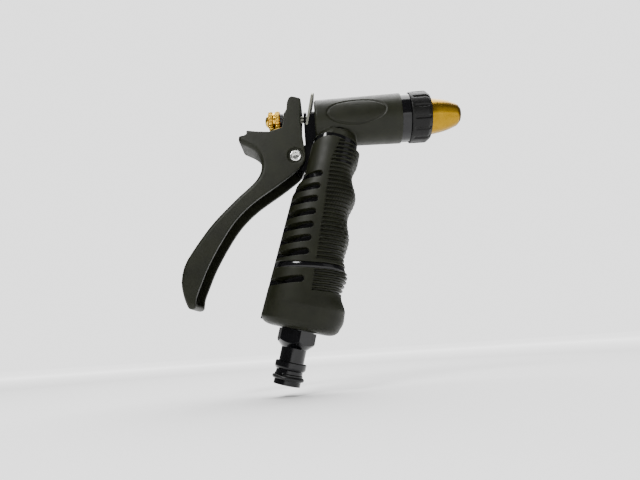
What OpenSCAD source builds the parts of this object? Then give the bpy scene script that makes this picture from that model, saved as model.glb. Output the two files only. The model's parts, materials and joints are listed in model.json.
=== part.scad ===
// Hose spray nozzle: rear trigger, adjustable brass tip, click-fit hose nipple.
// +X is the spray direction along the barrel, +Z is up. The origin is the centre of
// the nipple's end face. Pieces are set out from a datum on the grip's centre line,
// near the nipple's end, and in_frame() moves them to the origin.

/* [Handle and barrel] */
// Length of the handle axis from the datum to the barrel axis
handle_len = 149.5; // [140:0.5:160]
// Forward lean of the handle axis from vertical, in degrees
lean = 15; // [10:1:20]
// Rear end of the barrel sleeve
sleeve_rear = 23.8; // [22:0.1:26]
// Front end of the barrel sleeve
sleeve_front = 74.3; // [70:0.1:80]
// Outer radius of the barrel sleeve at its rear
sleeve_r_rear = 13.9; // [13.5:0.1:15]
// Outer radius of the barrel sleeve at its front
sleeve_r_front = 14.7; // [14:0.1:15]
// Outer radius of the valve body's barrel tube
tube_r = 12; // [11:0.1:12.5]
// Radius of the water chamber in the barrel
chamber_r = 6.9; // [6.5:0.1:7.2]
// Radius of the water passage in the handle
passage_r = 5; // [4:0.1:6]

/* [Front end] */
// Outer radius of the tip collar
collar_r = 15.1; // [14.8:0.1:16]
// Front end of the tip collar
collar_front = 91.8; // [90:0.1:94]
// Number of flutes round the tip collar
collar_flutes = 14; // [8:1:20]
// Outer radius of the brass tip's skirt
tip_r = 10.6; // [10:0.1:11]
// Front end of the brass tip
tip_end = 110.3; // [106:0.1:114]
// Radius of the spray orifice
orifice_r = 2.6; // [2:0.1:3]

/* [Trigger] */
// Height of the stem axis above the trigger pivot
horn_arm = 26.7; // [26:0.1:28]
// Trigger pivot along X, from the datum
pivot_x = 11.6; // [11:0.1:13]
// Outer width of the trigger's channel
lever_w = 20.6; // [19:0.1:22]
// Wall thickness of the trigger's sides
lever_wall = 2.3; // [2:0.1:3]
// Web thickness of the trigger's back
lever_web = 2.6; // [2:0.1:3.5]

/* [Stem and nut] */
// Height of the stem axis above the barrel axis
stem_rise = 3.5; // [3:0.1:4]
// Radius of the valve stem
stem_r = 2; // [1.8:0.1:2.3]
// Radius of the adjuster nut's knurled bands
nut_r = 5.9; // [5.5:0.1:6.3]
// Number of knurls round the adjuster nut
nut_knurls = 22; // [12:1:28]

/* [Hose nipple] */
// Radius of the nipple's end land
nipple_r = 7.2; // [7:0.05:7.5]
// Length of the nipple's end land
nipple_len = 2.4; // [2.2:0.1:2.8]
// Radius of the water inlet bore
inlet_r = 4.5; // [4:0.1:5]
// Width across flats of the nipple's hexagon
hex_af = 19; // [17:0.5:21]
// Turn of the nipple's hexagon, in degrees
hex_turn = -16; // [-30:1:30]

/* [Hidden] */
$fn = 72;

barrel_z = handle_len * cos(lean);
stem_z = barrel_z + stem_rise;
pivot_z = stem_z - horn_arm;
face_gap = 0.05;     // between fixed pieces that seat in one another
run_gap = 0.08;      // radial clearance of turning and sliding fits

// Barrel stations along X
boss_rear = 17.3;
packing_rear = 28.3;
gland_rear = 31;
spring_rear = 34.2;
spring_front = 54;
seal_rear = 63.8;
seat_rear = 66;
seat_front = 69;
hub_front = 79.3;
nose_front = 91;

// Nipple's axis and end, from the datum
nipple_shift = 0.8;
nipple_end = 4.3;

// Handle stations along the handle axis, from the datum
grip_bottom = 25;
grip_top = 136;
ring_s = 58.9;
ring_tilt = 7.3;
ring_gap = 3;
slot_pitch = 7.45;
slot_top = 110.9;
slot_h = 3.4;

// Arch where the grip's top meets the neck, in the side view
arch = [29.9, 114.7];
arch_r = 15.6;
neck_band = 2;

// Handle outline: [distance along the handle axis, distance from it]
finger_front = [[25, 21.9], [34, 24.4], [38, 24.2], [47.7, 20.4], [57, 21.9], [67.9, 18.2],
    [77.3, 19], [91, 15.9], [102.5, 18.1], [116.5, 13.7], [125, 15.4], [137, 15.4]];
palm_rear = [[25, -20.7], [98, -17.9], [104, -16.6], [110, -14], [137, -14]];
half_width = [[25, 15.8], [38, 17.2], [60, 16.6], [100, 15.6], [120, 15.2], [137, 14.8]];

// ---- helpers ----

// Point of the side view at distance s up the handle axis and t in front of it
function handle_point(t, s) = [t * cos(lean) + s * sin(lean), s * cos(lean) - t * sin(lean)];

// Moves a piece from the datum to the origin at the nipple's end
module in_frame() {
    end = handle_point(nipple_shift, -nipple_end);
    translate([-end[0], 0, -end[1]]) children();
}

// Children's z axis becomes the barrel axis, pointing forward
module on_barrel() translate([0, 0, barrel_z]) rotate([0, 90, 0]) children();

// Children's z axis becomes the stem's axis, pointing forward
module on_stem() translate([0, 0, stem_rise]) on_barrel() children();

// Children's z axis becomes the handle axis, pointing up
module on_handle() rotate([0, lean, 0]) children();

// Children's z axis becomes the nipple's axis, starting at its end face
module on_nipple() on_handle() translate([nipple_shift, 0, -nipple_end]) children();

// Side-view outline in X and Z, given a width in Y
module side_plate(width) rotate([90, 0, 0]) linear_extrude(width, center = true) children();

// Cylinder across the part at a point of the side view
module cross_pin(at, r, width)
    translate([at[0], 0, at[1]]) rotate([90, 0, 0]) cylinder(r = r, h = width, center = true);

// Tube along z from z0 to z1
module tube(z0, z1, outer, inner) translate([0, 0, z0]) difference() {
    cylinder(r = outer, h = z1 - z0);
    translate([0, 0, -1]) cylinder(r = inner, h = z1 - z0 + 2);
}

// Solid of revolution about z from [radius, z] points
module turned(points) rotate_extrude() polygon(points);

// Round ring about z with a round section
module o_ring(z, major, section)
    translate([0, 0, z]) rotate_extrude() translate([major, 0]) circle(r = section, $fn = 32);

// Rectangle with rounded corners, from [x0, y0] to [x1, y1]
module rounded_rect(x0, x1, y0, y1, r) {
    for (x = [x0 + r, x1 - r], y = [y0 + r, y1 - r]) translate([x, y]) circle(r = r);
    translate([x0 + r, y0]) square([x1 - x0 - 2 * r, y1 - y0]);
    translate([x0, y0 + r]) square([x1 - x0, y1 - y0 - 2 * r]);
}

// Smooth curve through points
function curve_point(a, b, c, d, t) = 0.5 * (2 * b + (c - a) * t
    + (2 * a - 5 * b + 4 * c - d) * t * t + (3 * b - a - 3 * c + d) * t * t * t);
function smooth(p, n = 4) = [for (i = [0 : len(p) - 2], k = [0 : n - 1])
    curve_point(p[max(i - 1, 0)], p[i], p[i + 1], p[min(i + 2, len(p) - 1)], k / n),
    p[len(p) - 1]];

// The same curve moved sideways by d, to its left
function left_of(p, i) = let (a = p[max(i - 1, 0)], b = p[min(i + 1, len(p) - 1)],
    v = (b - a) / norm(b - a)) [-v[1], v[0]];
function beside(p, d) = [for (i = [0 : len(p) - 1]) p[i] + d * left_of(p, i)];

// Value that eases between listed crests and troughs
function ease(list, s) = let (n = len(list),
    i = max([0, for (k = [0 : n - 2]) if (list[k][0] <= s) k]), a = list[i], b = list[i + 1],
    u = (s - a[0]) / (b[0] - a[0]))
    a[1] + (b[1] - a[1]) * (1 - cos(180 * min(max(u, 0), 1))) / 2;

// ---- handle ----

// One ring of the grip's surface at distance s along the handle, pulled in by inset
grip_sides = 44;
function grip_ring_points(s, inset) = [for (k = [0 : grip_sides - 1])
    let (a = 360 * k / grip_sides, c = cos(a), q = sin(a), fullness = 0.86,
        reach = (c > 0 ? ease(finger_front, s) : -lookup(s, palm_rear)) - inset)
    [reach * sign(c) * pow(abs(c), fullness),
        (lookup(s, half_width) - inset) * sign(q) * pow(abs(q), fullness), s]];

// Grip surface through rings of [s, inset]
module grip_loft(rings) {
    m = grip_sides;
    last = len(rings) - 1;
    polyhedron(points = [for (ring = rings) each grip_ring_points(ring[0], ring[1])],
        faces = concat([[for (k = [0 : m - 1]) k]], [[for (k = [m - 1 : -1 : 0]) last * m + k]],
            [for (i = [0 : last - 1], k = [0 : m - 1])
                let (n = (k + 1) % m) [i * m + k, (i + 1) * m + k, (i + 1) * m + n, i * m + n]]),
        convexity = 8);
}

// Handle core's section, grown by extra
module core_section(extra = 0)
    rounded_rect(-12.5 - extra, 10.5 + extra, -12.3 - extra, 12.3 + extra, 8 + extra);

// Rear spine of the handle core, as wide as given
module core_spine(width, extra = 0) on_handle() side_plate(width)
    polygon([[-8, grip_bottom + 2], [-20.3 - extra, grip_bottom + 2], [-17.8 - extra, 98],
        [-13.9 - extra, 110], [-13.9 - extra, 112], [-8, 112]]);

// Everything below the neck's arch, moved up by band
module below_neck(band) {
    r = arch_r + band;
    side_plate(60) polygon(concat([[-40, 0]], [[-40, arch[1] - 4]],
        [for (a = [180 : -6 : 66]) arch + r * [cos(a), sin(a)]],
        [[53, 121.2 + band], [53, 0]]));
}

// Slab across the handle for the ring between the two grips
module ring_slab(h) on_handle() translate([0, 0, ring_s]) rotate([0, -ring_tilt, 0])
    cube([90, 60, h], center = true);

// Slot across the handle's sides, level, with a rounded front end
module grip_slot(i) {
    tip = handle_point(-2.6 + 0.26 * i, slot_top - i * slot_pitch) - [slot_h / 2, 0];
    cross_pin(tip, slot_h / 2, 60);
    translate([tip[0] - 40, -30, tip[1] - slot_h / 2]) cube([40, 60, slot_h]);
}

// Space that the trigger's head sweeps beside the pivot lug
module trigger_sweep() cross_pin([pivot_x, pivot_z], 7.3, 60);

// Lug between the trigger's sides, and the web and boss that carry the stem's rear end
module pivot_lug() {
    side_plate(14.8) polygon(concat(
        [for (a = [96 : 12 : 240]) [pivot_x, pivot_z] + 5.2 * [cos(a), sin(a)]],
        [[19, pivot_z - 12], [31, pivot_z - 12], [31, pivot_z + 9], [24, pivot_z + 9]]));
    side_plate(9) polygon([[boss_rear, stem_z], [boss_rear, 127], [23.7, 127], [23.7, 133.4],
        [24.3, 133.4], [24.3, stem_z]]);
    on_stem() translate([0, 0, boss_rear]) cylinder(r = 4.5, h = 9);
}

module valve_body() color([0.03, 0.03, 0.035]) in_frame() difference() {
    union() {
        on_barrel() translate([0, 0, sleeve_rear + 0.2])
            cylinder(r = tube_r, h = sleeve_front - sleeve_rear - 0.2);
        on_handle() translate([0, 0, grip_bottom + 1]) linear_extrude(94.5) core_section();
        intersection() {
            on_handle() translate([0, 0, 120]) linear_extrude(16)
                rounded_rect(-12.4, 12.8, -13.6, 13.6, 9);
            difference() {
                below_neck(neck_band - face_gap);
                trigger_sweep();
            }
        }
        on_handle() translate([0, 0, 124]) cylinder(r = 10.9, h = 18);
        core_spine(6.4);
        pivot_lug();
    }
    on_stem() cylinder(r = stem_r + 0.3, h = 40);
    on_stem() translate([0, 0, packing_rear]) cylinder(r = 5.45, h = 10);
    on_stem() translate([0, 0, gland_rear]) cylinder(r = chamber_r, h = 50);
    on_barrel() translate([0, 0, seat_rear]) cylinder(r = 10, h = 20);
    on_handle() translate([nipple_shift, 0, 0]) cylinder(r = passage_r, h = handle_len);
    on_handle() translate([nipple_shift, 0, 0]) cylinder(r = 7.5, h = 38);
    cross_pin([pivot_x, pivot_z], 2.5 + face_gap, 40);
    latch_slot();
}

module barrel_sleeve() color([0.12, 0.12, 0.1]) in_frame() difference() {
    union() {
        on_barrel() turned([[10, sleeve_rear], [sleeve_r_rear - 1, sleeve_rear],
            [sleeve_r_rear, sleeve_rear + 1], [sleeve_r_front, sleeve_front], [10, sleeve_front]]);
        hull() on_handle() {
            translate([0, 0, 128]) linear_extrude(4) rounded_rect(-12.6, 14, -15, 15, 9, $fn = 32);
            translate([0, 0, 138]) linear_extrude(2) rounded_rect(-9, 11, -12.6, 12.6, 8, $fn = 32);
        }
    }
    below_neck(neck_band);
    on_barrel() cylinder(r = tube_r + face_gap, h = 100);
    on_handle() cylinder(r = 11, h = handle_len);
    translate([10, -4.6, 110]) cube([13.75, 9.2, 60]);
    trigger_sweep();
}

// Upper grip with level slots in its sides
module grip_upper() color([0.13, 0.13, 0.11]) in_frame() difference() {
    intersection() {
        on_handle() grip_loft([for (s = [52 : 3 : grip_top]) [s, 0]]);
        below_neck(0);
    }
    on_handle() linear_extrude(handle_len) core_section(face_gap);
    on_handle() translate([0, 0, 119.9]) linear_extrude(20) rounded_rect(-12.5, 12.9, -13.7, 13.7, 9);
    core_spine(6.5, 4);
    side_plate(14.9) translate([0, pivot_z - 13]) square([31, 33]);
    trigger_sweep();
    for (i = [0 : 6]) grip_slot(i);
    ring_slab(ring_gap + 2 * face_gap);
    on_handle() translate([-60, -30, 0]) rotate([0, -ring_tilt, 0]) cube([120, 60, ring_s - 7.6]);
}

// Gloss ring between the grips
module grip_ring() color([0.03, 0.03, 0.035]) in_frame() difference() {
    intersection() {
        on_handle() grip_loft([for (s = [48 : 3 : 70]) [s, 0.8]]);
        ring_slab(ring_gap);
    }
    on_handle() linear_extrude(handle_len) core_section(face_gap);
    core_spine(6.5, 4);
}

module grip_lower() color([0.13, 0.13, 0.11]) in_frame() difference() {
    on_handle() grip_loft(concat([[grip_bottom, 5], [grip_bottom + 0.4, 3.4], [grip_bottom + 1, 2],
        [grip_bottom + 1.8, 1], [grip_bottom + 3, 0.3]], [for (s = [31 : 3 : 67]) [s, 0]]));
    on_handle() translate([0, 0, grip_bottom + 1]) linear_extrude(handle_len) core_section(face_gap);
    on_nipple() cylinder(r = 9.2, h = handle_len);
    core_spine(6.5, 4);
    grip_slot(8);
    ring_slab(ring_gap + 2 * face_gap);
    on_handle() translate([-60, -30, ring_s]) rotate([0, -ring_tilt, 0]) translate([0, 0, -7.6])
        cube([120, 60, 40]);
}

// ---- front end ----

// Gloss ring, collar bearing and nose that carry the tip
module front_hub() color([0.03, 0.03, 0.035]) in_frame() on_barrel() difference() {
    turned([[7.4, seat_front + face_gap], [9.95, seat_front + face_gap], [9.95, sleeve_front + face_gap],
        [14, sleeve_front + face_gap], [14, hub_front], [12.6, hub_front], [12.6, 81.2], [11.8, 81.2],
        [11.8, 82.4], [12.6, 82.4], [12.6, 84], [8.6, 84], [8.6, nose_front - 0.6],
        [8, nose_front], [5.5, nose_front], [5.5, 75]]);
    tube(87.1, 88.9, 20, 6.85);
}

// Brass seat whose port lies on the stem's axis
module valve_seat() color([0.8, 0.65, 0.25]) in_frame() difference() {
    on_barrel() translate([0, 0, seat_rear]) cylinder(r = 9.95, h = seat_front - seat_rear);
    on_stem() cylinder(r = 3.6, h = 100);
}

// Fixed pin in the tip's orifice, on three vanes
module flow_pin() color([0.8, 0.65, 0.25]) in_frame() on_barrel() {
    translate([0, 0, 77]) cylinder(r = 1.5, h = 20.6);
    translate([0, 0, 97.6]) cylinder(r1 = 1.5, r2 = 0.5, h = 6);
    for (k = [0 : 2]) rotate(120 * k + 30) translate([0, -0.6, 78]) cube([5.44, 1.2, 6]);
}

module nose_o_ring() color([0.05, 0.05, 0.05]) in_frame() on_barrel() o_ring(88, 7.75, 0.88);

// Split ring that keeps the collar on the hub
module collar_retainer() color([0.7, 0.7, 0.7]) in_frame() on_barrel() difference() {
    tube(81.3, 82.3, 13.3, 11.9);
    translate([9, -1.2, 80]) cube([8, 2.4, 4]);
}

module nozzle_tip() color([0.85, 0.68, 0.2]) in_frame() on_barrel()
    turned(concat([[8.7, 84.6], [tip_r, 84.6], [tip_r, collar_front + 0.5]],
        smooth([[tip_r, collar_front + 0.5], [10.05, 96.8], [9.35, 100.3], [8.4, 103.7], [7.3, 106.5],
            [6.5, 108.3]], 6),
        [[5.5, 109.1], [4.5, 109.7], [4.2, tip_end], [orifice_r + 0.5, tip_end], [orifice_r, tip_end - 1],
        [orifice_r, 105], [5.5, 97], [8.7, 95]]));

module tip_collar() color([0.04, 0.04, 0.04]) in_frame() on_barrel() difference() {
    turned([[12.6 + run_gap, hub_front + 0.3], [collar_r - 0.5, hub_front + 0.3],
        [collar_r, hub_front + 0.9], [collar_r, collar_front - 2.2], [collar_r - 0.6, collar_front - 0.9],
        [collar_r - 2, collar_front], [tip_r + run_gap, collar_front], [tip_r + run_gap, 84.3],
        [12.6 + run_gap, 84.3], [12.6 + run_gap, 82.5], [13.5, 82.5], [13.5, 81.1],
        [12.6 + run_gap, 81.1]]);
    for (k = [0 : collar_flutes - 1]) rotate(360 * k / collar_flutes)
        translate([collar_r + 1.2, 0, hub_front + 2]) cylinder(r = 1.8, h = 30);
}

// ---- stem, gland and latch ----

// Nut in the chamber's rear end that squeezes the packing round the stem
module gland_nut() color([0.03, 0.03, 0.035]) in_frame() on_stem()
    tube(gland_rear + face_gap, spring_rear - face_gap, chamber_r - face_gap, stem_r + run_gap);

module gland_packing() color([0.75, 0.75, 0.7]) in_frame() on_stem()
    tube(packing_rear + face_gap, gland_rear, 5.4, stem_r + 0.03);

// Hold-open plate, round-ended, with a round foot and a window round the stem
plate_lean = 12.3;
plate_foot = [18.95, stem_z - 5];
plate_t = 1.3;
module latch_plate() color([0.7, 0.7, 0.68]) in_frame()
    translate([plate_foot[0], 0, plate_foot[1]]) rotate([0, plate_lean, 0]) difference() {
        union() {
            rotate([90, 0, 0]) cylinder(r = plate_t / 2, h = 9.6, center = true);
            translate([-plate_t / 2, -4.8, 0]) cube([plate_t, 9.6, 17.5]);
            translate([-plate_t / 2, 0, 17.5]) rotate([0, 90, 0]) cylinder(r = 4.8, h = plate_t);
        }
        translate([-2, -2.9, 1.8]) cube([4, 5.8, 6.6]);
    }

// Slot in the boss in which the plate stands and tilts
module latch_slot() {
    cross_pin(plate_foot, plate_t / 2 + run_gap, 10.4);
    side_plate(10.4) polygon([plate_foot + [-0.74, 0], plate_foot + [0.7, 0], plate_foot + [3.6, 10],
        plate_foot + [3.6, 14], plate_foot + [0.2, 14], plate_foot + [0.1, 9.6]]);
}

module valve_stem() color([0.7, 0.7, 0.72]) in_frame() on_stem() {
    difference() {
        translate([0, 0, -3.6]) cylinder(r = stem_r, h = seal_rear + 3.4);
        tube(55.6, 56.4, 9, 1.6);
    }
    translate([0, 0, seal_rear - 0.4]) cylinder(r = 1.5, h = 2.2);
}

module stem_clip() color([0.5, 0.5, 0.5]) in_frame() on_stem() difference() {
    tube(55.65, 56.35, 4.2, 1.65);
    translate([0, -1.3, 50]) cube([8, 2.6, 8]);
}

module spring_seat() color([0.7, 0.7, 0.7]) in_frame()
    on_stem() tube(spring_front + 0.1, 55.5, 6, stem_r + face_gap);

// Helix of round wire between the chamber's rear wall and the spring seat
spring_turns = 7.5;
spring_r = 4.9;
wire_r = 0.6;
wire_sides = 8;
spring_rings = round(spring_turns * 14);
spring_span = spring_front - spring_rear - 2 * wire_r - 0.3;
function wire_point(i, k) = let (a = 360 * spring_turns * i / spring_rings, b = 360 * k / wire_sides,
    r = spring_r + wire_r * cos(b), rise = spring_span * i / spring_rings + wire_r * sin(b))
    [r * cos(a), r * sin(a), spring_rear + 0.15 + wire_r + rise];
module return_spring() color([0.75, 0.75, 0.78]) in_frame() on_stem()
    polyhedron(points = [for (i = [0 : spring_rings], k = [0 : wire_sides - 1]) wire_point(i, k)],
        faces = concat([[for (k = [0 : wire_sides - 1]) k]],
            [[for (k = [wire_sides - 1 : -1 : 0]) spring_rings * wire_sides + k]],
            [for (i = [0 : spring_rings - 1], k = [0 : wire_sides - 1])
                let (n = (k + 1) % wire_sides, low = i * wire_sides, high = low + wire_sides)
                [low + k, high + k, high + n, low + n]]));

// Brass cup on the stem that holds the rubber seal
module poppet_holder() color([0.8, 0.65, 0.25]) in_frame() on_stem()
    turned([[stem_r + face_gap, 58], [4.6, 58], [5.9, 60], [5.9, 65.2], [5.4, 65.2],
        [5.4, seal_rear - 0.05], [stem_r + face_gap, seal_rear - 0.05]]);

module poppet_seal() color([0.06, 0.06, 0.06]) in_frame()
    on_stem() tube(seal_rear, seat_rear - 0.1, 5.35, 1.55);

module nut_washer() color([0.1, 0.1, 0.1]) in_frame() on_stem() tube(3.3, 4.8, 4.4, stem_r + run_gap);

// Acorn nut with two knurled bands
module adjuster_nut() color([0.85, 0.68, 0.2]) in_frame() on_stem() difference() {
    turned([[0, -5.9], [1.6, -5.8], [2.8, -5.2], [3.5, -4.3], [3.6, -3.9], [nut_r - 0.5, -3.8],
        [nut_r, -3.3], [nut_r, -1.4], [nut_r - 0.9, -1], [nut_r - 0.9, 0.1], [nut_r, 0.5],
        [nut_r, 2.7], [nut_r - 0.5, 3.2], [0, 3.2]]);
    translate([0, 0, -4.2]) cylinder(r = stem_r + run_gap, h = 20);
    for (k = [0 : nut_knurls - 1]) rotate(360 * k / nut_knurls) translate([nut_r + 0.15, 0, 0])
        rotate(45) cube([0.8, 0.8, 20], center = true);
}

// ---- trigger ----

// Back edge from the thumb hook down to the tip, and front edge from the tip up to the pivot
lever_back = smooth([[-21, 134.2], [-20.2, 131.6], [-16.8, 129.6], [-12.8, 127.1], [-10, 123.9],
    [-8.5, 120], [-8.3, 115.6], [-9.6, 111.3], [-12.6, 107.2], [-17.3, 102.9], [-23.4, 97.6],
    [-36.8, 84.3], [-47.7, 69.8], [-52.4, 61.5], [-54, 53], [-52.9, 45.5], [-50.8, 39.6]]);
lever_front = smooth([[-46.1, 39.2], [-45.6, 44], [-43.1, 50.7], [-38.5, 61.4], [-31, 74.6],
    [-23.2, 85.6], [-13.2, 94.9], [0.4, 103.9], [8, 109.2], [12.4, 112.7], [15.6, 115.9]]);

module lever_outline() polygon(concat(lever_back, [[-49.8, 38.2], [-48, 37.8], [-46.6, 38.2]],
    lever_front, [[16.9, 118.6], [17.2, 121.4], [16.8, 126], [16.1, 134], [15.5, 141.5], [15.6, 146],
    [16, 150.5], [16.4, 155.9], [15.9, 156.8], [13, 157.9], [11, 158.4], [9.4, 157.6], [8.2, 154.8],
    [7.6, 150.2], [5.8, 147.3], [5.5, 143], [4.4, 139], [-3, 136.9], [-10.2, 137.6], [-15.3, 138.5],
    [-16.2, 138.1], [-15.9, 136.7], [-17.2, 135.8], [-20.2, 135.3]]));

module trigger_lever() color([0.12, 0.12, 0.1]) in_frame() difference() {
    union() {
        difference() {
            side_plate(lever_w) lever_outline();
            side_plate(lever_w - 2 * lever_wall) polygon(concat(
                [[-13.2, 134.3]], beside([for (i = [11 : len(lever_back) - 6]) lever_back[i]], lever_web),
                [[-48, 40.6], [-40, 40.6], [0, 80], [40, 80], [40, 154.8], [11, 154.8],
                [9.6, 148], [8.2, 139], [4.6, 136], [-3, 134.3]]));
        }
        cross_pin([8, stem_z], 3, 9);
        tip_ribs();
    }
    translate([-10, -2.7, stem_z - 2.6]) cube([40, 5.4, 8.6]);
    cross_pin([pivot_x, pivot_z], 2.5 + run_gap, 40);
    for (side = [-1, 1]) {
        translate([pivot_x, side * (lever_w / 2 - 1), pivot_z]) rotate([-90 * side, 0, 0])
            cylinder(r = 4.7, h = 5);
        tip_corner(side);
    }
}

// Six low ribs across the back of the trigger's lower end
module tip_ribs() for (i = [47, 48, 50, 52, 54, 56]) cross_pin(lever_back[i], 0.5, 15);

// What is cut from a corner of the trigger's tip to round it, seen from behind
corner_r = 3.6;
module tip_corner(side) translate([-60, side * (lever_w / 2 - corner_r), 37.7 + corner_r]) difference() {
    translate([0, side > 0 ? 0 : -corner_r - 1, -corner_r - 1]) cube([20, corner_r + 1, corner_r + 1]);
    translate([-1, 0, 0]) rotate([0, 90, 0]) cylinder(r = corner_r, h = 22);
}

// Hollow rivet with a flared head at each side
module pivot_rivet() color([0.8, 0.8, 0.8]) in_frame() translate([pivot_x, 0, pivot_z]) rotate([90, 0, 0])
    difference() {
        union() {
            cylinder(r = 2.5, h = lever_w - 0.2, center = true);
            for (side = [-1, 1]) translate([0, 0, side * (lever_w / 2 - 0.5)])
                cylinder(r = 3.3, h = 0.8, center = true);
        }
        cylinder(r = 1.8, h = 30, center = true);
    }

module pivot_washers() color([0.8, 0.8, 0.75]) in_frame()
    translate([pivot_x, 0, pivot_z]) rotate([90, 0, 0])
    for (side = [-1, 1]) translate([0, 0, side * 7.65 - 0.2]) difference() {
        cylinder(r = 4.8, h = 0.4);
        translate([0, 0, -1]) cylinder(r = 2.5 + face_gap, h = 3);
    }

// ---- hose nipple ----

module hose_nipple() color([0.03, 0.03, 0.035]) in_frame() on_nipple() difference() {
    union() {
        turned([[0, 0], [nipple_r, 0], [nipple_r, nipple_len], [6.6, nipple_len], [6.6, 4.9],
            [7.6, 4.9], [7.6, 5.5], [7.2, 6], [7.2, 7.6], [8, 8.3], [8.4, 9.2], [8.4, 11.6], [8.1, 12],
            [6.8, 12], [6.8, 28], [7.4, 29], [7.4, 40.3], [0, 40.3]]);
        intersection() {
            translate([0, 0, 19]) rotate(hex_turn) cylinder(r = hex_af / 2 / cos(30), h = 9.8, $fn = 6);
            turned([[0, 19], [6.5, 19], [11.2, 23.2], [11.2, 28.8], [0, 28.8]]);
        }
        translate([0, 0, 28.8]) cylinder(r = 9, h = 1.4);
    }
    translate([0, 0, -1]) cylinder(r = inlet_r, h = 50);
}

module nipple_o_ring() color([0.05, 0.05, 0.05]) in_frame() on_nipple() o_ring(3.7, 7.65, 1);

module inlet_washer() color([0.1, 0.1, 0.1]) in_frame()
    on_nipple() tube(40.35, 42.25, 7.4, inlet_r + 0.7);

valve_body();
barrel_sleeve();
grip_upper();
grip_ring();
grip_lower();
front_hub();
valve_seat();
flow_pin();
nose_o_ring();
collar_retainer();
nozzle_tip();
tip_collar();
gland_nut();
gland_packing();
latch_plate();
valve_stem();
stem_clip();
spring_seat();
return_spring();
poppet_holder();
poppet_seal();
nut_washer();
adjuster_nut();
trigger_lever();
pivot_rivet();
pivot_washers();
hose_nipple();
nipple_o_ring();
inlet_washer();
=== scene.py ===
"""Looks of a garden hose spray nozzle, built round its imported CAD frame."""
import json
import math

import bmesh
import bpy
import numpy as np
from mathutils import Matrix, Vector


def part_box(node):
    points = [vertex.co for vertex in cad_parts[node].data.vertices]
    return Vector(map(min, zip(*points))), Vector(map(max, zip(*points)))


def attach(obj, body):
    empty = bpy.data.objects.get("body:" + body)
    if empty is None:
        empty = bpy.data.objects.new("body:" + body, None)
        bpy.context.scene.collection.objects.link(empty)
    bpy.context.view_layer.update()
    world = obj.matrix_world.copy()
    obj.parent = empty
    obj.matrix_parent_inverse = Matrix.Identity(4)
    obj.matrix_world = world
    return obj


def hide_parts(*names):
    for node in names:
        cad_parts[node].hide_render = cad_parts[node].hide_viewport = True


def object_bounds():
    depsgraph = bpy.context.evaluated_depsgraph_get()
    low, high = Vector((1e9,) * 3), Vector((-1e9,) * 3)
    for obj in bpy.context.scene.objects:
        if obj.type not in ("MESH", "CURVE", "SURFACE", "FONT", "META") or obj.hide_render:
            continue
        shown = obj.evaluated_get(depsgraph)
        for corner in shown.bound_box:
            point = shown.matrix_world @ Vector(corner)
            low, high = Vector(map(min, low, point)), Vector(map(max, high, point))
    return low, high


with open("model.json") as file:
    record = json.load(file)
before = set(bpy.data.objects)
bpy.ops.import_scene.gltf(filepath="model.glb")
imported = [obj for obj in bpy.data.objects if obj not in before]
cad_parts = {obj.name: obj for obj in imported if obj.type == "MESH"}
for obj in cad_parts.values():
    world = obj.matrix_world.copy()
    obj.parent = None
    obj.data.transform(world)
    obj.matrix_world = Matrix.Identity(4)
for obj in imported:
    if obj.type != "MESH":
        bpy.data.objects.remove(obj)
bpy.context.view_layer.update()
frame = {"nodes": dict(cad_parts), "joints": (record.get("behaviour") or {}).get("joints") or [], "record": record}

MM = 0.001
RECORD = frame["record"]
NODES = frame["nodes"]
JOINTS = {joint["name"]: joint for joint in frame["joints"]}
MOUNTS = {mount["name"]: mount for mount in RECORD["mounts"]}

# Axes of the frame, in millimetres and radians
BARREL_Z = JOINTS["collar_turn"]["pos_m"][2] / MM
STEM_Z = JOINTS["nut_turn"]["pos_m"][2] / MM
PIVOT_X = JOINTS["trigger_pivot"]["pos_m"][0] / MM
PIVOT_Z = JOINTS["trigger_pivot"]["pos_m"][2] / MM
NIPPLE_AXIS = MOUNTS["hose_connector"]["axis"]
LEAN = math.atan2(-NIPPLE_AXIS[0], -NIPPLE_AXIS[2])
SIN, COS = math.sin(LEAN), math.cos(LEAN)

# Datum on the grip's centre line, from which the handle is set out as in the CAD
NIPPLE_SHIFT, NIPPLE_END = 0.8, 4.3
DATUM_X = NIPPLE_END * SIN - NIPPLE_SHIFT * COS
DATUM_Z = NIPPLE_END * COS + NIPPLE_SHIFT * SIN


def box_mm(node):
    """Lowest and highest corner of a CAD node, in millimetres."""
    low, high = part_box(node)
    return low / MM, high / MM


# ---------------------------------------------------------------- camera

CAMERA_AT = Vector((0.02524, -0.26505, 0.01652))
CAMERA_RIGHT = Vector((0.99772, 0.02436, -0.06289))
CAMERA_FORWARD = Vector((-0.00965, 0.97444, 0.22443))
CAMERA_LENS = 27.0


def make_camera():
    data = bpy.data.cameras.new("camera")
    data.lens = CAMERA_LENS
    data.sensor_width = 36.0
    data.clip_start = 0.01
    camera = bpy.data.objects.new("camera", data)
    bpy.context.scene.collection.objects.link(camera)
    up = CAMERA_RIGHT.cross(CAMERA_FORWARD).normalized()
    right = CAMERA_FORWARD.cross(up).normalized()
    turn = Matrix((right, up, -CAMERA_FORWARD.normalized())).transposed()
    camera.matrix_world = Matrix.Translation(CAMERA_AT) @ turn.to_4x4()
    bpy.context.scene.camera = camera


# ---------------------------------------------------------------- materials

def shader(name):
    """New material, its node tree, its Principled shader and object coordinates in metres."""
    material = bpy.data.materials.new(name)
    material.use_nodes = True
    tree = material.node_tree
    principled = tree.nodes["Principled BSDF"]
    coords = tree.nodes.new("ShaderNodeTexCoord").outputs["Object"]
    return material, tree, principled, coords


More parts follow.
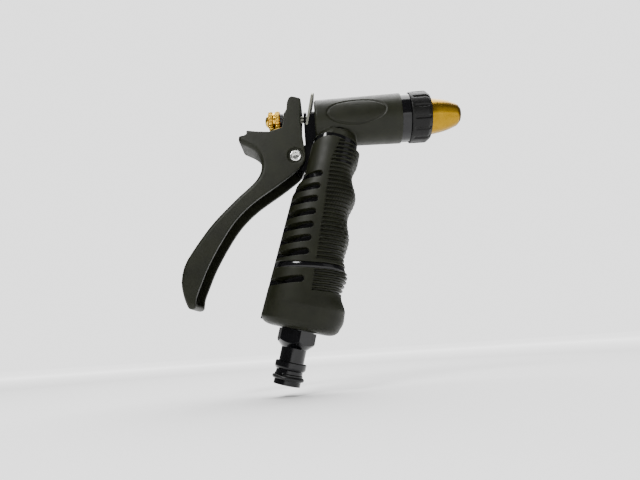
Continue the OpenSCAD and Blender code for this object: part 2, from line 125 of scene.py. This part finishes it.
def noise_node(tree, coords, per_metre, detail=3.0, roughness=0.5, stretch=(1, 1, 1)):
    mapping = tree.nodes.new("ShaderNodeMapping")
    mapping.inputs["Scale"].default_value = stretch
    tree.links.new(coords, mapping.inputs["Vector"])
    texture = tree.nodes.new("ShaderNodeTexNoise")
    texture.inputs["Scale"].default_value = per_metre
    texture.inputs["Detail"].default_value = detail
    texture.inputs["Roughness"].default_value = roughness
    tree.links.new(mapping.outputs["Vector"], texture.inputs["Vector"])
    return texture.outputs["Fac"]


def remap(tree, value, low, high, out_low, out_high):
    node = tree.nodes.new("ShaderNodeMapRange")
    tree.links.new(value, node.inputs["Value"])
    for socket, number in zip(("From Min", "From Max", "To Min", "To Max"), (low, high, out_low, out_high)):
        node.inputs[socket].default_value = number
    return node.outputs["Result"]


def colour_ramp(tree, value, dark, light):
    node = tree.nodes.new("ShaderNodeMix")
    node.data_type = "RGBA"
    tree.links.new(value, node.inputs[0])
    node.inputs[6].default_value = (*dark, 1)
    node.inputs[7].default_value = (*light, 1)
    return node.outputs[2]


def bump(tree, height, strength, distance, normal=None):
    node = tree.nodes.new("ShaderNodeBump")
    node.inputs["Strength"].default_value = strength
    node.inputs["Distance"].default_value = distance
    tree.links.new(height, node.inputs["Height"])
    if normal is not None:
        tree.links.new(normal, node.inputs["Normal"])
    return node.outputs["Normal"]


def moulded_plastic(name, dark, light, rough_low, rough_high, grain, grain_depth, specular=0.5):
    """Moulded plastic: cloudy colour, uneven gloss, fine grain and faint flow waviness."""
    material, tree, principled, coords = shader(name)
    clouds = noise_node(tree, coords, 90, 4)
    tree.links.new(colour_ramp(tree, remap(tree, clouds, 0.35, 0.65, 0, 1), dark, light),
                   principled.inputs["Base Color"])
    patches = noise_node(tree, coords, 260, 5, 0.6)
    tree.links.new(remap(tree, patches, 0.3, 0.7, rough_low, rough_high), principled.inputs["Roughness"])
    principled.inputs["Specular IOR Level"].default_value = specular
    waves = bump(tree, noise_node(tree, coords, 130, 2), 0.25, 0.00025)
    tree.links.new(bump(tree, noise_node(tree, coords, grain, 3), 0.6, grain_depth, waves),
                   principled.inputs["Normal"])
    return material


def metal(name, dark, light, rough_low, rough_high, lines, line_depth, stretch):
    """Worked metal: fine tool lines across `stretch`, uneven polish and slight stains."""
    material, tree, principled, coords = shader(name)
    principled.inputs["Metallic"].default_value = 1.0
    stains = noise_node(tree, coords, 220, 4, 0.6)
    tree.links.new(colour_ramp(tree, remap(tree, stains, 0.35, 0.7, 0, 1), light, dark),
                   principled.inputs["Base Color"])
    scratches = noise_node(tree, coords, lines, 3, 0.6, stretch)
    tree.links.new(remap(tree, scratches, 0.3, 0.7, rough_low, rough_high), principled.inputs["Roughness"])
    tree.links.new(bump(tree, scratches, 0.5, line_depth), principled.inputs["Normal"])
    return material


MATERIALS = {
    "satin_black": moulded_plastic("satin_black", (0.0048, 0.0054, 0.0016), (0.0075, 0.0084, 0.0028),
                                   0.4, 0.52, 5200, 0.00004, 0.22),
    "gloss_black": moulded_plastic("gloss_black", (0.0015, 0.0015, 0.002), (0.003, 0.003, 0.0035),
                                   0.08, 0.16, 900, 0.000008, 0.35),
    "collar_black": moulded_plastic("collar_black", (0.002, 0.002, 0.002), (0.004, 0.004, 0.0035),
                                    0.34, 0.46, 5000, 0.00003, 0.2),
    "rubber": moulded_plastic("rubber", (0.004, 0.004, 0.004), (0.007, 0.007, 0.007),
                              0.3, 0.45, 3500, 0.00002, 0.4),
    "nylon": moulded_plastic("nylon", (0.6, 0.58, 0.52), (0.7, 0.68, 0.62),
                             0.35, 0.5, 3000, 0.00002),
    "brass": metal("brass", (0.27, 0.15, 0.006), (0.33, 0.19, 0.01), 0.26, 0.34, 300, 0.000002, (1, 9, 9)),
    "bright_brass": metal("bright_brass", (0.62, 0.37, 0.035), (0.78, 0.5, 0.07), 0.12, 0.22, 500, 0.00002,
                          (6, 1, 1)),
    "steel": metal("steel", (0.17, 0.17, 0.14), (0.25, 0.25, 0.21), 0.3, 0.45, 700, 0.00002, (1, 1, 8)),
    "dark_steel": metal("dark_steel", (0.02, 0.02, 0.02), (0.04, 0.04, 0.04),
                        0.3, 0.42, 700, 0.00002, (1, 1, 8)),
    "bright_steel": metal("bright_steel", (0.66, 0.66, 0.63), (0.82, 0.82, 0.8), 0.14, 0.26, 600, 0.00002,
                          (1, 1, 1)),
}


# ---------------------------------------------------------------- mesh helpers

def new_object(name, vertices, faces, slot, body, node=None, smooth_angle=40):
    """Mesh object from points in millimetres, riding on a body and standing for a CAD node."""
    mesh = bpy.data.meshes.new(name)
    mesh.from_pydata([tuple(c * MM for c in v) for v in vertices], [], faces)
    mesh.validate()
    fix = bmesh.new()
    fix.from_mesh(mesh)
    bmesh.ops.recalc_face_normals(fix, faces=fix.faces)
    fix.to_mesh(mesh)
    fix.free()
    piece = bpy.data.objects.new(name, mesh)
    bpy.context.scene.collection.objects.link(piece)
    finish_piece(piece, slot, body, node, smooth_angle)
    return piece


def finish_piece(piece, slot, body, node, smooth_angle=40):
    piece.data.materials.clear()
    piece.data.materials.append(MATERIALS[slot])
    piece.data.shade_smooth()
    piece.data.set_sharp_from_angle(angle=math.radians(smooth_angle))
    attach(piece, body)
    if node:
        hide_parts(node)


def grid_faces(rows, columns, closed_rows=False):
    """Quads of a grid whose columns wrap round, with caps or with its rows wrapped too."""
    faces = []
    for i in range(rows if closed_rows else rows - 1):
        low, high = i * columns, ((i + 1) % rows) * columns
        for k in range(columns):
            n = (k + 1) % columns
            faces.append((low + k, low + n, high + n, high + k))
    if not closed_rows:
        faces.append(tuple(range(columns - 1, -1, -1)))
        faces.append(tuple(range((rows - 1) * columns, rows * columns)))
    return faces


def rounded(profile, radius=0.3, steps=3, closed=True):
    """Profile with each corner replaced by a short curve that reaches `radius` along its sides."""
    points = []
    count = len(profile)
    for i, here in enumerate(profile):
        here = Vector(here)
        if not closed and i in (0, count - 1):
            points.append(here)
            continue
        before = Vector(profile[i - 1]) - here
        after = Vector(profile[(i + 1) % count]) - here
        a = here + before.normalized() * min(radius, before.length * 0.45)
        b = here + after.normalized() * min(radius, after.length * 0.45)
        for k in range(steps + 1):
            u = k / steps
            points.append(a * (1 - u) ** 2 + here * 2 * u * (1 - u) + b * u ** 2)
    return points


def fine(profile, step, closed=True):
    """Profile with points added so that none are further apart than `step`."""
    points = []
    for i in range(len(profile) if closed else len(profile) - 1):
        a, b = profile[i], profile[(i + 1) % len(profile)]
        parts = max(1, math.ceil((b - a).length / step))
        points += [a.lerp(b, k / parts) for k in range(parts)]
    if not closed:
        points.append(profile[-1])
    return points


def turned(name, profile, slot, body, node, segments=96, relief=None, axis="barrel", smooth_angle=40):
    """Piece turned about the barrel's or the stem's axis from a closed profile of (along, radius)."""
    centre_z = BARREL_Z if axis == "barrel" else STEM_Z
    vertices = []
    for along, radius in profile:
        for k in range(segments):
            angle = 2 * math.pi * k / segments
            r = radius + (relief(along, radius, angle) if relief else 0)
            side, up = r * math.cos(angle), r * math.sin(angle)
            vertices.append((along, side, centre_z + up))
    faces = grid_faces(len(profile), segments, True)
    return new_object(name, vertices, faces, slot, body, node, smooth_angle)


def softened_copy(name, node, slot, body, voxel, rounds, reshape=None, smooth_angle=60):
    """Copy of a CAD node with its edges worn round: remeshed evenly, smoothed, then reshaped."""
    piece = NODES[node].copy()
    piece.data = NODES[node].data.copy()
    piece.name = name
    piece.parent = None
    for key in list(piece.keys()):
        del piece[key]
    bpy.context.scene.collection.objects.link(piece)
    remesh = piece.modifiers.new("even", "REMESH")
    remesh.mode = "VOXEL"
    remesh.voxel_size = voxel * MM
    smooth = piece.modifiers.new("soften", "SMOOTH")
    smooth.factor = 0.5
    smooth.iterations = rounds
    depsgraph = bpy.context.evaluated_depsgraph_get()
    mesh = bpy.data.meshes.new_from_object(piece.evaluated_get(depsgraph))
    piece.modifiers.clear()
    piece.data = mesh
    mesh.name = name
    if reshape:
        points = np.empty(len(mesh.vertices) * 3)
        mesh.vertices.foreach_get("co", points)
        points = reshape(points.reshape(-1, 3) / MM) * MM
        mesh.vertices.foreach_set("co", points.ravel())
    finish_piece(piece, slot, body, node, smooth_angle)
    return piece


def keep(node, slot, bevel=0.0, segments=2, angle=35):
    """CAD node kept as it is, with its material and lightly broken edges."""
    piece = NODES[node]
    for index in range(max(1, len(piece.material_slots))):
        if not piece.material_slots:
            piece.data.materials.append(MATERIALS[slot])
        piece.material_slots[index].material = MATERIALS[slot]
    if bevel:
        edge = piece.modifiers.new("broken_edges", "BEVEL")
        edge.width = bevel * MM
        edge.segments = segments
        edge.limit_method = "ANGLE"
        edge.angle_limit = math.radians(angle)
        edge.harden_normals = False
    return piece


def step(edge, width, value):
    """0 below the edge and 1 above it, eased over `width`."""
    u = min(max((value - edge) / width + 0.5, 0), 1)
    return u * u * (3 - 2 * u)


# ---------------------------------------------------------------- grips

# Outline of the grip: (distance up the handle from the datum, distance from its axis), as in the CAD,
# but 0.1 mm narrower at its widest row, so that the shell stays inside the CAD's box
FINGER_FRONT = [(25, 21.9), (34, 24.4), (38, 24.2), (47.7, 20.4), (57, 21.9), (67.9, 18.2), (77.3, 19),
                (91, 15.9), (102.5, 18.1), (116.5, 13.7), (125, 15.4), (137, 15.4)]
PALM_REAR = [(25, -20.7), (98, -17.9), (104, -16.6), (110, -14), (137, -14)]
HALF_WIDTH = [(25, 15.8), (38, 17.1), (60, 16.6), (100, 15.6), (120, 15.2), (137, 14.8)]
FULLNESS = 0.86
GRIP_BOTTOM = 25
RING_S, RING_TILT, RING_GAP = 58.9, math.radians(7.3), 3.0
ARCH_X, ARCH_Z, ARCH_R = 29.9 + DATUM_X, 114.7 + DATUM_Z, 15.6
SLOT_TOP, SLOT_PITCH, SLOT_HEIGHT = 110.9, 7.45, 3.4
RIB_START, RIB_PITCH, RIB_GROOVE, RIB_DEPTH, RIB_SLOPE = 63.3, 2.45, 1.35, 1.4, 0.128
GRID = 0.22

# How far the edge of a grip shell is rounded along the handle
EDGE_ROUND = 0.45

# Head of the trigger that the grip clears
HEAD_CLEAR = 7.4


def between(table, s, ease=False):
    """Value of a table at s, straight or eased between its entries."""
    for (s0, v0), (s1, v1) in zip(table, table[1:]):
        if s <= s1 or s1 == table[-1][0]:
            u = min(max((s - s0) / (s1 - s0), 0), 1)
            if ease:
                u = (1 - math.cos(math.pi * u)) / 2
            return v0 + (v1 - v0) * u


def power(value):
    return math.copysign(abs(value) ** FULLNESS, value)


def grip_surface(s, angle, inset=0.0):
    """Point (t, y) of the smooth grip at distance s along the handle."""
    c, q = math.cos(angle), math.sin(angle)
    reach = between(FINGER_FRONT, s, True) if c > 0 else -between(PALM_REAR, s)
    return (reach - inset) * power(c), (between(HALF_WIDTH, s) - inset) * power(q)


def side_view(t, s):
    return t * COS + s * SIN + DATUM_X, s * COS - t * SIN + DATUM_Z


# Where the neck's arch runs into a straight line, and where that line ends
ARCH_END = math.radians(66)
LINE_START = (ARCH_X + ARCH_R * math.cos(ARCH_END), ARCH_Z + ARCH_R * math.sin(ARCH_END))
LINE_END = (53 + DATUM_X, 121.2 + DATUM_Z)


def neck_height(x):
    """Height of the grip's top edge in the side view."""
    if x < LINE_START[0]:
        reach = ARCH_R ** 2 - (x - ARCH_X) ** 2
        return ARCH_Z + (math.sqrt(reach) if reach > 0 else -4)
    share = (x - LINE_START[0]) / (LINE_END[0] - LINE_START[0])
    return LINE_START[1] + (LINE_END[1] - LINE_START[1]) * share


def column_top(angle):
    """Distance along the handle at which a column of the grip meets the neck."""
    s = 112.0
    while s < 136:
        t, _ = grip_surface(s, angle)
        x, z = side_view(t, s)
        if z > neck_height(x):
            break
        s += 0.1
    return s


def core_distance(t, y):
    """Signed distance from the handle core's rounded outline."""
    dx = max(abs(t + 1.0) - 3.5, 0)
    dy = max(abs(y) - 4.3, 0)
    return math.hypot(dx, dy) - 8


def sink(t, y, amount):
    """Moves a point of the section inward, by amount from 0 to 1, until it is inside the core."""
    centre = (min(max(t, -4.5), 2.5), min(max(y, -4.3), 4.3))
    far = core_distance(t, y) + 0.5
    length = math.hypot(t - centre[0], y - centre[1]) or 1
    pull = amount * max(far, 0) / length
    return t + (centre[0] - t) * pull, y + (centre[1] - y) * pull


def slot_amount(t, s, index):
    """1 inside level slot `index` in the side view, eased to 0 at its wall."""
    front_t, front_s = -2.6 + 0.26 * index, SLOT_TOP - index * SLOT_PITCH
    tip_x, tip_z = side_view(front_t, front_s)
    tip_x -= SLOT_HEIGHT / 2
    x, z = side_view(t, s)
    distance = abs(z - tip_z) if x < tip_x else math.hypot(x - tip_x, z - tip_z)
    return step(-SLOT_HEIGHT / 2, 0.4, -distance)


def rib_amount(t, s, low, high):
    """1 in the bottom of a rib groove, 0 on the ribs and outside the ribbed front."""
    left = 0.9 + max(0, 116 - s) * 0.056 + max(0, s - 121) * 0.2
    along = s - RIB_SLOPE * t - RIB_START
    off_centre = abs(along - RIB_PITCH * round(along / RIB_PITCH))
    groove = step(-RIB_GROOVE / 2, 0.45, -off_centre)
    level = along + RIB_START
    return groove * step(left, 0.45, t) * step(low, 0.4, level) * step(-high, 0.4, -level)


def carve(t, y, s, slots, rib_low, rib_high):
    """Grip point with its slots, ribs, spine channel and trigger clearance cut in."""
    cut = max([slot_amount(t, s, i) for i in slots]) if t < 0 else 0
    if t < 0:
        spine = step(3.3, 0.3, 6.6 - abs(y)) * 0.35
        lug = step(7.6, 0.3, 15.2 - abs(y)) * step(106.5, 1.0, s)
        cut = max(cut, spine, lug)
    if cut > 0:
        t, y = sink(t, y, cut)
    ribs = rib_amount(t, s, rib_low, rib_high)
    if ribs > 0:
        length = math.hypot(t, y)
        t, y = t * (1 - ribs * RIB_DEPTH / length), y * (1 - ribs * RIB_DEPTH / length)
    return t, y


def grip_piece(name, node, low_of, high_of, slots, rib_low, rib_high, lips):
    """Grip shell from columns that run from low_of(angle) to high_of(angle)."""
    columns = round(106 / GRID)
    angles = [2 * math.pi * k / columns for k in range(columns)]
    lows = [low_of(a) for a in angles]
    highs = [high_of(a) for a in angles]
    rows = round(max(h - l for l, h in zip(lows, highs)) / GRID)
    levels = [(0.0, inset, drop) for inset, drop in lips[0]]
    levels += [(i / rows, 0.0, 0.0) for i in range(rows + 1)]
    levels += [(1.0, inset, -drop) for inset, drop in lips[1]]
    vertices = []
    for u, inset, shift in levels:
        for a, low, high in zip(angles, lows, highs):
            s = low + (high - low) * u
            t, y = grip_surface(s, a, inset)
            t, y = carve(t, y, s, slots, rib_low, rib_high) if inset < 2 else (t, y)
            x, z = side_view(t, s + shift)
            away = math.hypot(x - PIVOT_X, z - PIVOT_Z)
            if away < HEAD_CLEAR:
                x = PIVOT_X + (x - PIVOT_X) * HEAD_CLEAR / away
                z = PIVOT_Z + (z - PIVOT_Z) * HEAD_CLEAR / away
            vertices.append((x, y, z))
    return new_object(name, vertices, grid_faces(len(levels), columns), "satin_black",
                      "nozzle_body", node, 50)


def ring_plane(angle, side):
    """Distance along the handle of the ring's edge (side -1 below, +1 above) at an angle."""
    s = RING_S
    for _ in range(3):
        t, _ = grip_surface(s, angle)
        s = RING_S + math.tan(RING_TILT) * t + side * (RING_GAP / 2 + 0.05) / math.cos(RING_TILT)
    return s


# Rounded edge of a shell as (inset, distance from the edge along the handle), from its inside out
EDGE_ROWS = [(6.0, 0.0), (1.2, 0.0), (0.45, 0.03), (0.13, 0.25)]

# The same for the lower grip's foot, whose edge is rounded much more
FOOT_ROUND = 4.0
FOOT_ROWS = [(11.5, -4.0), (6.0, -4.0), (4.6, -3.85), (3.2, -3.45), (2.0, -2.85), (1.1, -2.1),
             (0.45, -1.25), (0.12, -0.6)]


def make_grips():
    low_rows = [(inset, drop - EDGE_ROUND) for inset, drop in EDGE_ROWS]
    high_rows = low_rows[::-1]
    grip_piece("upper_grip_shell", "grip_upper",
               lambda a: ring_plane(a, 1) + EDGE_ROUND, lambda a: column_top(a) - EDGE_ROUND,
               range(7), 62.0, 132.0, (low_rows, high_rows))
    grip_piece("lower_grip_shell", "grip_lower",
               lambda a: GRIP_BOTTOM + FOOT_ROUND, lambda a: ring_plane(a, -1) - EDGE_ROUND,
               (8,), 44.9, 57.2, (FOOT_ROWS, high_rows))
    columns = 240
    rows = [(4.0, -1.0), (0.95, -1.0), (0.8, -0.85), (0.75, 0.0), (0.8, 0.85), (0.95, 1.0), (4.0, 1.0)]
    vertices = []
    for inset, side in rows:
        for k in range(columns):
            a = 2 * math.pi * k / columns
            s = ring_plane(a, 1) * (1 + side) / 2 + ring_plane(a, -1) * (1 - side) / 2
            t, y = grip_surface(s, a, inset)
            x, z = side_view(t, s)
            vertices.append((x, y, z))
    new_object("grip_band", vertices, grid_faces(len(rows), columns, True), "gloss_black", "nozzle_body",
               "grip_ring", 50)


# ---------------------------------------------------------------- barrel and front end

OVAL_X, OVAL_LONG, OVAL_HIGH, OVAL_LINE, OVAL_DEPTH = 48.4, 16.8, 7.6, 0.9, 0.4


def engrave_oval(points):
    """Sinks a plain oval line into both sides of the sleeve."""
    up = points[:, 2] - BARREL_Z
    radius = np.hypot(points[:, 1], up)
    around = np.arcsin(np.clip(up / radius, -1, 1)) * radius
    a, b = (points[:, 0] - OVAL_X) / OVAL_LONG, around / OVAL_HIGH
    k = np.hypot(a, b)
    gap = np.abs(k - 1) * k / np.maximum(np.hypot(a / OVAL_LONG, b / OVAL_HIGH), 1e-6)
    ease = np.clip((OVAL_LINE / 2 - gap) / 0.5 + 0.5, 0, 1)
    outer_side = (radius > 13.4) & (np.abs(points[:, 1]) > 8)
    depth = np.where(outer_side, OVAL_DEPTH * ease * ease * (3 - 2 * ease), 0)
    points[:, 1] *= 1 - depth / radius
    points[:, 2] = BARREL_Z + up * (1 - depth / radius)
    return points


def make_barrel():
    softened_copy("sleeve_shell", "barrel_sleeve", "satin_black", "nozzle_body",
                  0.35, 4, engrave_oval)


def make_front():
    collar_low, collar_high = box_mm("tip_collar")
    outer = (collar_high.z - collar_low.z) / 2
    x0, x1 = collar_low.x, collar_high.x
    profile = rounded([(x0, 12.68), (x0, outer - 0.1), (x1 - 2.6, outer), (x1, outer - 2.2), (x1, 10.68),
                       (x0 + 4.7, 10.68), (x0 + 4.7, 12.68), (x0 + 2.9, 12.68), (x0 + 2.9, 13.5),
                       (x0 + 1.5, 13.5), (x0 + 1.5, 12.68)], 0.7, 5)
    flutes = 14

    def flute(along, radius, angle):
        if radius < outer - 1.2:
            return 0
        wave = math.cos(flutes * angle)
        ends = step(x0 + 1.9, 1.2, along)
        return -0.62 * step(0.72, 0.5, wave) * ends

    turned("fluted_collar", fine(profile, 0.6), "collar_black", "collar", "tip_collar", 336, flute,
           smooth_angle=50)

    tip_low, tip_high = box_mm("nozzle_tip")
    end = tip_high.x
    back = tip_low.x
    bullet = [(0, 10.6), (7.9, 10.55), (10.2, 10.35), (12.2, 10.0), (14.2, 9.65), (16.2, 9.2), (18, 8.7),
              (19.7, 8.1), (21.2, 7.5), (22.5, 6.95), (23.5, 6.5)]
    nose = [(24.2, 5.9), (24.75, 5.1), (end - back - 0.15, 4.2), (end - back, 3.6), (end - back - 0.1, 3.1)]
    inner = [(end - back - 1, 2.6), (20.4, 2.6), (12.4, 5.5), (10.4, 8.7), (0, 8.7)]
    outline = [Vector((back + along, r)) for along, r in bullet + nose + inner]
    turned("bullet_tip", fine(rounded(outline, 0.25, 2), 0.8), "brass", "tip", "nozzle_tip", 128,
           smooth_angle=42)


def make_nut():
    low, high = box_mm("adjuster_nut")
    r = (high.z - low.z) / 2
    outline = [(0, 0.25), (0.1, 1.6), (0.7, 2.8), (1.6, 3.5), (2.0, 3.6), (2.1, r - 0.6), (2.7, r),
               (4.4, r), (4.9, r - 0.9), (6, r - 0.9), (6.5, r), (8.5, r), (9.1, r - 0.6), (9.1, 2.1),
               (1.7, 2.1), (1.7, 0.25)]
    profile = [(low.x + along, radius) for along, radius in outline]
    knurls = 22

    def knurl(along, radius, angle):
        if radius <= r - 0.7:
            return 0
        return -0.55 * step(0.6, 0.7, abs(math.cos(knurls * angle / 2)))

    turned("acorn_nut", fine(rounded(profile, 0.3, 3), 0.4), "bright_brass", "adjuster_nut", "adjuster_nut",
           352, knurl, axis="stem", smooth_angle=35)


# ---------------------------------------------------------------- trigger

# Knots of the trigger's back edge from the thumb hook to the tip, from the datum, as in the CAD
LEVER_BACK = [(-21, 134.2), (-20.2, 131.6), (-16.8, 129.6), (-12.8, 127.1), (-10, 123.9),
              (-8.5, 120), (-8.3, 115.6), (-9.6, 111.3), (-12.6, 107.2), (-17.3, 102.9),
              (-23.4, 97.6), (-36.8, 84.3), (-47.7, 69.8), (-52.4, 61.5), (-54, 53), (-52.9, 45.5),
              (-50.8, 39.6), (-49.8, 38.2)]

# Radius of the trigger's back edges
BACK_ROUND = 2.6


def smooth_curve(points, parts):
    """Catmull-Rom curve through points."""
    curve = []
    last = len(points) - 1
    for i in range(last):
        a, b, c, d = (np.array(points[min(max(i + k, 0), last)]) for k in (-1, 0, 1, 2))
        for k in range(parts):
            u = k / parts
            curve.append(0.5 * (2 * b + (c - a) * u + (2 * a - 5 * b + 4 * c - d) * u * u
                                + (3 * b - a - 3 * c + d) * u ** 3))
    curve.append(np.array(points[last]))
    return np.array(curve)


def round_back(points):
    """Rounds the trigger's back edges: a quarter circle between its sides and its back."""
    low, high = box_mm("trigger_lever")
    half = (high.y - low.y) / 2
    curve = smooth_curve(LEVER_BACK, 8) + np.array((DATUM_X, DATUM_Z))
    flat = points[:, (0, 2)]
    depth = np.full(len(points), 1e9)
    inward = np.zeros((len(points), 2))
    for a, b in zip(curve[:-1], curve[1:]):
        along = b - a
        u = np.clip(((flat - a) @ along) / (along @ along), 0, 1)
        gap = flat - (a + u[:, None] * along)
        distance = np.hypot(gap[:, 0], gap[:, 1])
        closer = distance < depth
        depth[closer] = distance[closer]
        inward[closer] = np.array((-along[1], along[0])) / np.linalg.norm(along)
    side_depth = half - np.abs(points[:, 1])
    dx, dy = BACK_ROUND - depth, BACK_ROUND - side_depth
    length = np.hypot(dx, dy)
    corner = (dx > 0) & (dy > 0) & (length > BACK_ROUND)
    pull = np.where(corner, 1 - BACK_ROUND / np.maximum(length, 1e-6), 0)
    points[:, 0] += inward[:, 0] * dx * pull
    points[:, 2] += inward[:, 1] * dx * pull
    points[:, 1] -= np.sign(points[:, 1]) * dy * pull
    return points


def make_trigger():
    softened_copy("trigger_shell", "trigger_lever", "satin_black", "trigger",
                  0.3, 4, round_back)


def make_rivet():
    """Tubular rivet with rolled heads and a blind recess at each end."""
    low, high = box_mm("pivot_rivet")
    half = (high.y - low.y) / 2
    head = [(half - 1.0, 2.5), (half - 0.75, 3.1), (half - 0.45, 3.3), (half - 0.15, 3.15), (half, 2.8),
            (half - 0.04, 2.55), (half - 0.25, 2.25), (half - 0.6, 2.05), (half - 3.2, 1.95),
            (half - 3.3, 1.6), (half - 3.2, 0.6), (half - 3.3, 0.05)]
    profile = [(-along, r) for along, r in reversed(head)] + head
    segments = 64
    vertices = []
    for along, radius in profile:
        for k in range(segments):
            angle = 2 * math.pi * k / segments
            x, z = PIVOT_X + radius * math.cos(angle), PIVOT_Z + radius * math.sin(angle)
            vertices.append((x, along, z))
    new_object("rolled_rivet", vertices, grid_faces(len(profile), segments), "bright_steel", "nozzle_body",
               "pivot_rivet", 50)


# ---------------------------------------------------------------- kept CAD pieces

def keep_cad():
    kept = {
        "valve_body": ("gloss_black", 0.5), "front_hub": ("gloss_black", 0.35),
        "gland_nut": ("gloss_black", 0.4), "hose_nipple": ("gloss_black", 0.3),
        "latch_plate": ("steel", 0.25), "valve_stem": ("steel", 0.15), "pivot_washers": ("nylon", 0.0),
        "nut_washer": ("dark_steel", 0.2), "flow_pin": ("brass", 0.0),
        "nipple_o_ring": ("rubber", 0.0), "nose_o_ring": ("rubber", 0.0), "collar_retainer": ("steel", 0.0),
        "valve_seat": ("brass", 0.0), "gland_packing": ("nylon", 0.0), "stem_clip": ("steel", 0.0),
        "spring_seat": ("steel", 0.0), "return_spring": ("steel", 0.0), "poppet_holder": ("brass", 0.0),
        "poppet_seal": ("rubber", 0.0), "inlet_washer": ("rubber", 0.0),
    }
    for node, (slot, bevel) in kept.items():
        keep(node, slot, bevel)


# ---------------------------------------------------------------- stage

# Sky as a light and as seen behind the part
SKY_LIGHT, SKY_SEEN = 0.16, 2.2

# Area lights: (name, place, watts, size)
LIGHTS = (("key", (-0.3, -0.6, 0.65), 6.5, 0.22), ("top", (0.1, 0.3, 1.1), 32.0, 1.2),
          ("fill", (0.6, -0.5, 0.3), 0.5, 0.5))

# The floor's half width and its gap below the part, and where it starts and ends fading into the sky
FLOOR_HALF, FLOOR_GAP = 12.0, 0.004
FADE_START, FADE_END = 0.5, 1.4


def make_floor():
    """Pale floor that glows like the sky far away, so that no horizon shows."""
    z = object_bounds()[0][2] - FLOOR_GAP
    corners = [(-1, -1), (1, -1), (1, 1), (-1, 1)]
    mesh = bpy.data.meshes.new("floor")
    mesh.from_pydata([(x * FLOOR_HALF, y * FLOOR_HALF, z) for x, y in corners], [], [(0, 1, 2, 3)])
    floor = bpy.data.objects.new("floor", mesh)
    bpy.context.scene.collection.objects.link(floor)
    material, tree, principled, coords = shader("floor_white")
    principled.inputs["Base Color"].default_value = (0.96, 0.96, 0.96, 1)
    principled.inputs["Roughness"].default_value = 0.9
    distance = tree.nodes.new("ShaderNodeVectorMath")
    distance.operation = "LENGTH"
    tree.links.new(coords, distance.inputs[0])
    principled.inputs["Emission Color"].default_value = (1, 1, 1, 1)
    tree.links.new(remap(tree, distance.outputs["Value"], FADE_START, FADE_END, 0, SKY_SEEN),
                   principled.inputs["Emission Strength"])
    floor.data.materials.append(material)


def make_world():
    world = bpy.data.worlds.new("studio")
    world.use_nodes = True
    tree = world.node_tree
    background = tree.nodes["Background"]
    background.inputs["Color"].default_value = (1, 1, 1, 1)
    rays = tree.nodes.new("ShaderNodeLightPath")
    tree.links.new(remap(tree, rays.outputs["Is Camera Ray"], 0, 1, SKY_LIGHT, SKY_SEEN),
                   background.inputs["Strength"])
    bpy.context.scene.world = world


def make_lights():
    centre = Vector((0.02, 0, 0.09))
    for name, place, watts, size in LIGHTS:
        data = bpy.data.lights.new(name, "AREA")
        data.energy = watts
        data.size = size
        light = bpy.data.objects.new(name, data)
        light.location = place
        aim = centre - light.location
        light.rotation_euler = aim.to_track_quat("-Z", "Y").to_euler()
        bpy.context.scene.collection.objects.link(light)


make_camera()
make_grips()
make_barrel()
make_front()
make_nut()
make_trigger()
make_rivet()
keep_cad()
make_floor()
make_world()
make_lights()
